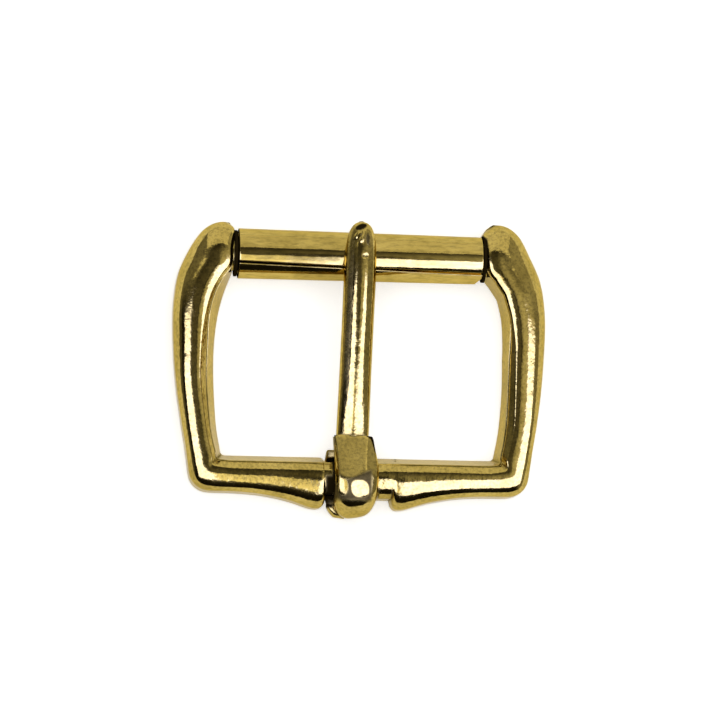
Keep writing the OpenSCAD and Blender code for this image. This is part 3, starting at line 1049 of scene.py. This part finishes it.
def prongShadeAndMarks(x, y, z):
    p, d = castProng, prongDark
    # painted shade on the tail, which lies behind the bar
    tail = fade(x, *d["tailLeft"]) * ease(y, *d["tailFrom"]) * d["tail"]
    # painted shade inside the bore, round the pin
    bore = fade(np.hypot(y, z - castFrame["hingeHigh"]), *d["boreRound"])
    u, v = x - d["pitAt"][0], y - d["pitAt"][1]
    k, s = d["pitTurn"]
    across, along = (u * k + v * s) / d["pitSize"][0], (v * k - u * s) / d["pitSize"][1]
    pit = fade(np.hypot(across, along), *d["pitEdge"]) * ease(z, *d["pitHigh"])
    across, along = (x - d["crackAt"][0]) / d["crackSize"][0], (y - d["crackAt"][1]) / d["crackSize"][1]
    crack = fade(np.hypot(across, along), *d["crackEdge"]) * ease(z, *d["crackHigh"]) * d["crack"]
    # painted shade on the shank's left flank
    left = mix(p["rootX"], p["tipX"], y / tipY) - x
    flank = ease(left, *d["flankNear"]) * fade(left, *d["flankFar"]) * ease(y, *d["flankFrom"]) * d["flank"]
    # painted shade and painted dark reflection on the collar's end, round the places where the lamps' highlights show
    fromSpots = np.minimum(*[
        np.abs((x - x0) / wide + slant * (y - y0)) ** d["spotPower"] + np.abs((y - y0) / long) ** d["spotPower"]
        for x0, y0, wide, long, slant in d["spots"]
    ])
    lineX, lineY, slope = d["endLine"]
    end = d["end"] * ease(slope * (x - lineX) + lineY - y, *d["endEdge"]) * ease(y, *d["endLow"])
    end *= ease(fromSpots, *d["spotEdge"]) * fade(np.abs(x - d["endX"]), *d["endHalf"]) * ease(z, *d["endHigh"])
    # painted shade on the filed flat on the collar's top
    (_, flatY, flatZ), (_, slope, _) = p["flat"]
    flat = ease(z - flatZ + slope * (y - flatY), *d["flatEdge"]) * fade(y, *d["flatTo"]) * d["flat"]
    # painted shade on the foot, low in the notch left of the collar
    foot = fade(x, *d["footLeft"]) * ease(y, *d["footFrom"]) * fade(y, *d["footTo"]) * ease(z, *d["footHigh"])
    return np.maximum.reduce([tail, bore, pit, crack, flank, end, flat, foot])


patinaAndShade(prongCasting.data, prongShadeAndMarks)
print("prong:", len(prongCasting.data.polygons), "faces")

# brass, cast and rolled
castBrass = {
    "gold": (0.53, 0.385, 0.092),
    "pale": (0.60, 0.44, 0.115),
    "worn": (0.42, 0.30, 0.066),
    # near-black colour of tarnish and of painted shade
    "tarnishAndShade": (0.018, 0.012, 0.004),
    "edgeTint": (0.85, 0.77, 0.52),
    "toneScale": 260,
    "rough": (0.06, 0.13),
    "roughScale": 700,
    # roughness of tarnish and of painted shade
    "tarnishAndShadeRough": 0.6,
    "clean": (0.88, 0.98),  # from metal to tarnish and painted shade, as the attribute grows
    "speck": 0.5,  # how bright the darkest grain stays
    "speckScale": 2300,
    "lumpScale": 900,
    "lumpHeight": 0.000025,
    "pitScale": 2600,
    "pitHeight": 0.000009,
    "speckShare": 0.8,
    "noiseRough": 0.55,
    "toneStops": (0.3, 0.5, 0.72),  # where the noises turn from one tone to the next
    "speckStops": (0.32, 0.56),
    "roughStops": (0.35, 0.7),
}
sheetBrass = {
    **castBrass,
    "worn": (0.44, 0.315, 0.07),
    "rough": (0.06, 0.12),
    "speck": 0.6,
    "lumpScale": 500,
    "lumpHeight": 0.000013,
    "pitScale": 3500,
    "pitHeight": 0.000005,
}


def grey(value):
    return (value, value, value)


def brass(name, look, drawn=(1, 1, 1)):
    # drawn is the scale of the grain along each axis
    material = bpy.data.materials.new(name)
    material.use_nodes = True
    tree = material.node_tree
    where = tree.nodes.new("ShaderNodeTexCoord").outputs["Object"]
    stretch = addNode(tree, "ShaderNodeMapping", where)
    stretch.inputs["Scale"].default_value = drawn
    stretched = stretch.outputs[0]
    rough = look["noiseRough"]

    def blend(kind, factor, first, second):
        node = addNode(tree, "ShaderNodeMix", factor, data_type="RGBA", blend_type=kind)
        feed(tree, node.inputs[6:8], (first, second))
        return node.outputs[2]

    # tarnish in the creases and painted shade, from the point attribute
    tarnishAndShade = addNode(tree, "ShaderNodeAttribute", attribute_name="patinaAndShade").outputs["Fac"]
    tones = list(zip(look["toneStops"], (look["worn"], look["gold"], look["pale"])))
    tone = rampNode(tree, noiseNode(tree, where, look["toneScale"], 4, rough), tones)
    specks = noiseNode(tree, stretched, look["speckScale"], 3, 0.7)
    specks = rampNode(tree, specks, list(zip(look["speckStops"], (grey(look["speck"]), grey(1.0)))))
    tone = blend("MULTIPLY", look["speckShare"], tone, specks)
    clean = addNode(tree, "ShaderNodeMapRange", tarnishAndShade, *look["clean"], 1.0, 0.0).outputs[0]
    haze = noiseNode(tree, stretched, look["roughScale"], 5, rough)
    haze = rampNode(tree, haze, list(zip(look["roughStops"], map(grey, look["rough"]))))
    normal = None
    for layer, detail in (("lump", 2), ("pit", 3)):
        bump = tree.nodes.new("ShaderNodeBump")
        height = noiseNode(tree, stretched, look[layer + "Scale"], detail, rough)
        feedNamed(tree, bump, {"Strength": 1.0, "Distance": look[layer + "Height"], "Height": height, "Normal": normal})
        normal = bump.outputs[0]
    feedNamed(tree, tree.nodes["Principled BSDF"], {
        "Base Color": blend("MIX", tarnishAndShade, tone, look["tarnishAndShade"]),
        "Metallic": clean,
        "Roughness": blend("MIX", tarnishAndShade, haze, grey(look["tarnishAndShadeRough"])),
        "Specular IOR Level": mathNode(tree, "MULTIPLY", clean, 0.5),
        "Specular Tint": look["edgeTint"],
        "Normal": normal,
    })
    return material


frameBrass = brass("frameBrass", castBrass)
prongBrass = brass("prongBrass", castBrass)
rollerBrass = brass("rollerBrass", sheetBrass, (0.25, 1, 1))
for piece, material in ((frameCasting, frameBrass), (prongCasting, prongBrass)):
    piece.data.materials.clear()
    piece.data.materials.append(material)
rollerSheet = buildRoller(rollerBrass)
smoothShading(rollerSheet.data, rolledSheet["sharpFrom"])
# painted shade on the roller's end faces, in the gaps at the horns
patinaAndShade(rollerSheet.data, lambda x, y, z: ease(np.abs(x - rolledSheet["shift"]), *rolledSheet["endShade"]))
print("roller:", len(rollerSheet.data.polygons), "faces")

for piece, body, slotName in (
    (frameCasting, "frame", "frame_brass"),
    (rollerSheet, "roller", "roller_brass"),
    (prongCasting, "prong", "prong_brass"),
):
    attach(piece, body)
    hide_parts(body)

# the studio: soft lights, the floor, and the world round them
studio = {
    "floorTone": (0.9, 0.9, 0.89),
    "floorHalf": 3.0,
    "floorHigh": -0.00003,
    "floorGlow": 0.55,  # as the camera sees it
    "floorMirrored": 0.36,  # and as the brass mirrors it
    "worldSeen": (0.93, 0.93, 0.93),
    # the same for the world: how bright it is mirrored, from below to the zenith
    "worldMirrored": ((0.0, 0.012), (0.35, 0.012), (0.62, 0.03), (0.9, 0.04), (1.0, 0.04)),
    "worldTint": (1, 0.95, 0.88),
    # low light from the back, from the right and from the left, and the heights and turns where it comes
    "belt": 0.22,
    "beltFrom": (0.04, 0.42),
    "beltTop": (0.88, 0.8),
    "east": 0.28,
    "eastFrom": (0.5, 0.85),
    "west": 0.13,
    "westFrom": (-0.93, -0.985),
    "overhead": 1.25,
    "overheadSize": 1.6,
    "overheadHigh": 0.9,
    "distance": 0.32,
    "panels": {
        # lean from the zenith, turn about it, half widths in degrees, brightness
        "back": (58.5, 90, 30, 42, 0.72),
        "backEdge": (26.8, 90, 1.6, 42, 0.95),
    },
    # the canopy over the front: two softboxes round a dark hole, with a gap between them
    "canopy": {
        "high": 0.30,
        "west": -0.42, "east": 0.64, "south": -0.33, "north": 0.2,
        "holeX": 0.031, "holeY": 0.072, "holeWide": 0.215, "holeLong": 0.122,
        "edge": 0.06,  # softness of the hole's edge, as a share
        "backEnd": 0.034,  # the softboxes end here, softly before and behind
        "backSoft": (0.016, 0.008),
        "gapWest": -0.02, "gapEast": 0.031, "gapSoft": 0.004,
        "bright": 3.6,
        "gapBright": 1.6,
        "ceilingWest": 0.09, "ceilingEast": 0.72,
        "tint": (0.9, 1.0, 2.3),
        # soft steps, each from, to, and the values at both
        "gapAlong": (-0.18, -0.14, 1.0, 0.2),
        "gapAcross": (0.016, 0.024, 0.9, 0.0),
        "cornerAcross": (0.025, 0.04),
        "cornerAlong": (-0.262, -0.25),
        "ceilingAcross": (0.0, 0.11),
        "ceilingAlong": (0.0, 0.13, 1.0, 0.08),
        "shankX": 0.029,  # the ceiling is dark over the shank
        "shankAcross": (0.008, 0.016, 1.0, 0.0),
        "shankAlong": (0.0, 0.04, 1.0, 0.0),
    },
}


def areaLight(name, wide, long, brightness):
    light = bpy.data.lights.new(name, "AREA")
    light.shape = "RECTANGLE"
    light.size, light.size_y = wide, long
    light.energy = brightness * pi * light.size * light.size_y
    return newObject(name, light)


def softbox(name, lean, turn, halfLean, halfTurn, brightness):
    distance = studio["distance"]
    size = [2 * distance * tan(radians(half)) for half in (halfTurn, halfLean)]
    lamp = areaLight(name, *size, brightness)
    a, t = radians(lean), radians(turn)
    direction = Vector((sin(a) * cos(t), sin(a) * sin(t), cos(a)))
    sideways = Vector((-sin(t), cos(t), 0))
    turnTo = Matrix((sideways, direction.cross(sideways), direction)).transposed().to_4x4()
    lamp.matrix_world = Matrix.Translation(direction * distance) @ turnTo
    lamp.visible_camera = lamp.visible_diffuse = False


def canopy():
    c = studio["canopy"]
    lamp = areaLight("canopy", c["east"] - c["west"], c["north"] - c["south"], 1)
    lamp.location = ((c["east"] + c["west"]) / 2, (c["north"] + c["south"]) / 2, c["high"])
    lamp.visible_camera = lamp.visible_diffuse = False
    light = lamp.data
    light.use_nodes = True
    tree = light.node_tree
    tree.nodes.clear()
    math, step = partial(mathNode, tree), partial(stepNode, tree)
    times, plus, minus, divided, _, higher = arithmetic(tree)

    # the place on the lamp, in metres
    place = tree.nodes.new("ShaderNodeNewGeometry").outputs["Parametric"]
    place = addNode(tree, "ShaderNodeSeparateXYZ", place).outputs
    x = plus(times(place[0], light.size), c["west"])
    y = plus(times(place[1], light.size_y), c["south"])

    # the softboxes, outside of the hole and in front of their back end, and the gap between them
    across, along = [
        math("POWER", math("ABSOLUTE", divided(minus(value, middle), half)), 2.0)
        for value, middle, half in ((x, c["holeX"], c["holeWide"]), (y, c["holeY"], c["holeLong"]))
    ]
    outside = step(math("SQRT", plus(across, along)), 1 - c["edge"], 1 + c["edge"])
    front = step(y, c["backEnd"] - c["backSoft"][0], c["backEnd"] + c["backSoft"][1], 1.0, 0.0)
    inGap = times(*[step(x, side - c["gapSoft"], side + c["gapSoft"], start, 1 - start)
                    for side, start in ((c["gapWest"], 0.0), (c["gapEast"], 1.0))])
    gapLight = times(higher(step(y, *c["gapAlong"]), step(x, *c["gapAcross"])), c["gapBright"])
    gapLight = times(inGap, gapLight)
    boxLight = times(minus(1.0, inGap), c["bright"])
    nearLeft = higher(step(x, *c["cornerAcross"]), step(y, *c["cornerAlong"]))
    lit = times(times(outside, front), nearLeft)

    # the dimmer ceiling round them, dark over the shank
    ceiling = step(x, *c["ceilingAcross"], c["ceilingWest"], c["ceilingEast"])
    ceiling = times(ceiling, step(y, *c["ceilingAlong"]))
    fromShank = math("ABSOLUTE", minus(x, c["shankX"]))
    overShank = times(step(fromShank, *c["shankAcross"]), step(y, *c["shankAlong"]))
    ceiling = times(ceiling, minus(1.0, overShank))

    channels = [higher(times(lit, plus(gapLight, times(boxLight, part))), ceiling) for part in c["tint"]]
    mixed = addNode(tree, "ShaderNodeCombineXYZ", *channels)
    glow = addNode(tree, "ShaderNodeEmission", mixed.outputs[0], 1.0)
    addNode(tree, "ShaderNodeOutputLight", glow.outputs[0])


def buildLights():
    for name, values in studio["panels"].items():
        softbox(name, *values)
    canopy()
    size = studio["overheadSize"]
    lamp = areaLight("overhead", size, size, studio["overhead"])
    lamp.location = (0, 0, studio["overheadHigh"])
    lamp.visible_camera = lamp.visible_glossy = False


def buildFloor():
    s = studio
    half, low = s["floorHalf"], s["floorHigh"]
    mesh = bpy.data.meshes.new("floor")
    corners = [(-half, -half, low), (half, -half, low), (half, half, low), (-half, half, low)]
    mesh.from_pydata(corners, [], [(0, 1, 2, 3)])
    floor = newObject("floor", mesh)
    material = bpy.data.materials.new("paleFloor")
    material.use_nodes = True
    tree = material.node_tree
    seen = tree.nodes.new("ShaderNodeLightPath").outputs["Is Camera Ray"]
    glow = addNode(tree, "ShaderNodeMapRange", seen, 0.0, 1.0, s["floorMirrored"], s["floorGlow"])
    grain = noiseNode(tree, tree.nodes.new("ShaderNodeTexCoord").outputs["Object"], 300)
    darker = tuple(channel * 0.99 for channel in s["floorTone"])
    feedNamed(tree, tree.nodes["Principled BSDF"], {
        "Base Color": rampNode(tree, grain, [(0.0, darker), (1.0, s["floorTone"])]),
        "Roughness": 0.9,
        "Specular IOR Level": 0.1,
        "Emission Color": (1, 1, 0.99),
        "Emission Strength": glow.outputs[0],
    })
    mesh.materials.append(material)


def buildWorld():
    s = studio
    world = bpy.data.worlds.new("studio")
    bpy.context.scene.world = world
    world.use_nodes = True
    tree = world.node_tree
    tree.nodes.clear()
    step = partial(stepNode, tree)

    def combined(operation, *values):
        return addNode(tree, "ShaderNodeVectorMath", *values, operation=operation).outputs[0]

    towards = tree.nodes.new("ShaderNodeTexCoord").outputs["Generated"]
    towards = addNode(tree, "ShaderNodeSeparateXYZ", towards).outputs
    stops = [(at, tuple(value * part for part in s["worldTint"])) for at, value in s["worldMirrored"]]
    belt = combined("MULTIPLY", step(towards[1], *s["beltFrom"], 0.0, s["belt"]), step(towards[2], *s["beltTop"]))
    sides = combined("ADD", belt, step(towards[0], *s["eastFrom"], 0.0, s["east"]))
    lit = combined("ADD", rampNode(tree, towards[2], stops), sides)
    lit = combined("ADD", lit, step(towards[0], *s["westFrom"], 0.0, s["west"]))
    seen = tree.nodes.new("ShaderNodeLightPath").outputs["Is Camera Ray"]
    backgrounds = [addNode(tree, "ShaderNodeBackground", colour).outputs[0] for colour in (lit, s["worldSeen"])]
    both = addNode(tree, "ShaderNodeMixShader", seen, *backgrounds)
    addNode(tree, "ShaderNodeOutputWorld", both.outputs[0])


buildLights()
buildFloor()
buildWorld()
print("studio ready")

# the camera, nearly straight above
view = {
    "distance": 0.6,
    "fromLeft": 6.0,  # degrees off the zenith to the left and to the front
    "fromFront": 7.0,
    "roll": 1.4,
    "pixelsPerMm": 7.27,
    "imageSize": 720,
    "aimPixel": (358.4, 477.6),  # where the hinge's middle is in the picture
}


def buildCamera():
    v = view
    toCamera = Vector((-tan(radians(v["fromLeft"])), -tan(radians(v["fromFront"])), 1)).normalized()
    right = (Vector((1, 0, 0)) - toCamera * toCamera.x).normalized()
    up = toCamera.cross(right)
    turn = radians(v["roll"])
    # the picture's content turns clockwise, so the camera turns the other way
    right, up = right * cos(turn) + up * sin(turn), up * cos(turn) - right * sin(turn)
    camera = bpy.data.cameras.new("camera")
    camera.sensor_width = 36
    across = v["imageSize"] / v["pixelsPerMm"] * mm
    camera.lens = camera.sensor_width * v["distance"] / across
    hinge = Vector((0, -hingeToMiddle, castFrame["hingeHigh"])) * mm
    dx = (v["aimPixel"][0] - v["imageSize"] / 2) / v["pixelsPerMm"] * mm
    dy = (v["imageSize"] / 2 - v["aimPixel"][1]) / v["pixelsPerMm"] * mm
    eye = hinge - right * dx - up * dy + toCamera * v["distance"]
    obj = newObject("camera", camera)
    obj.matrix_world = Matrix.Translation(eye) @ Matrix((right, up, toCamera)).transposed().to_4x4()
    camera.clip_start, camera.clip_end = 0.01, 20
    bpy.context.scene.camera = obj


buildCamera()
bpy.context.scene.view_settings.view_transform = "Standard"
bpy.context.scene.view_settings.look = "None"
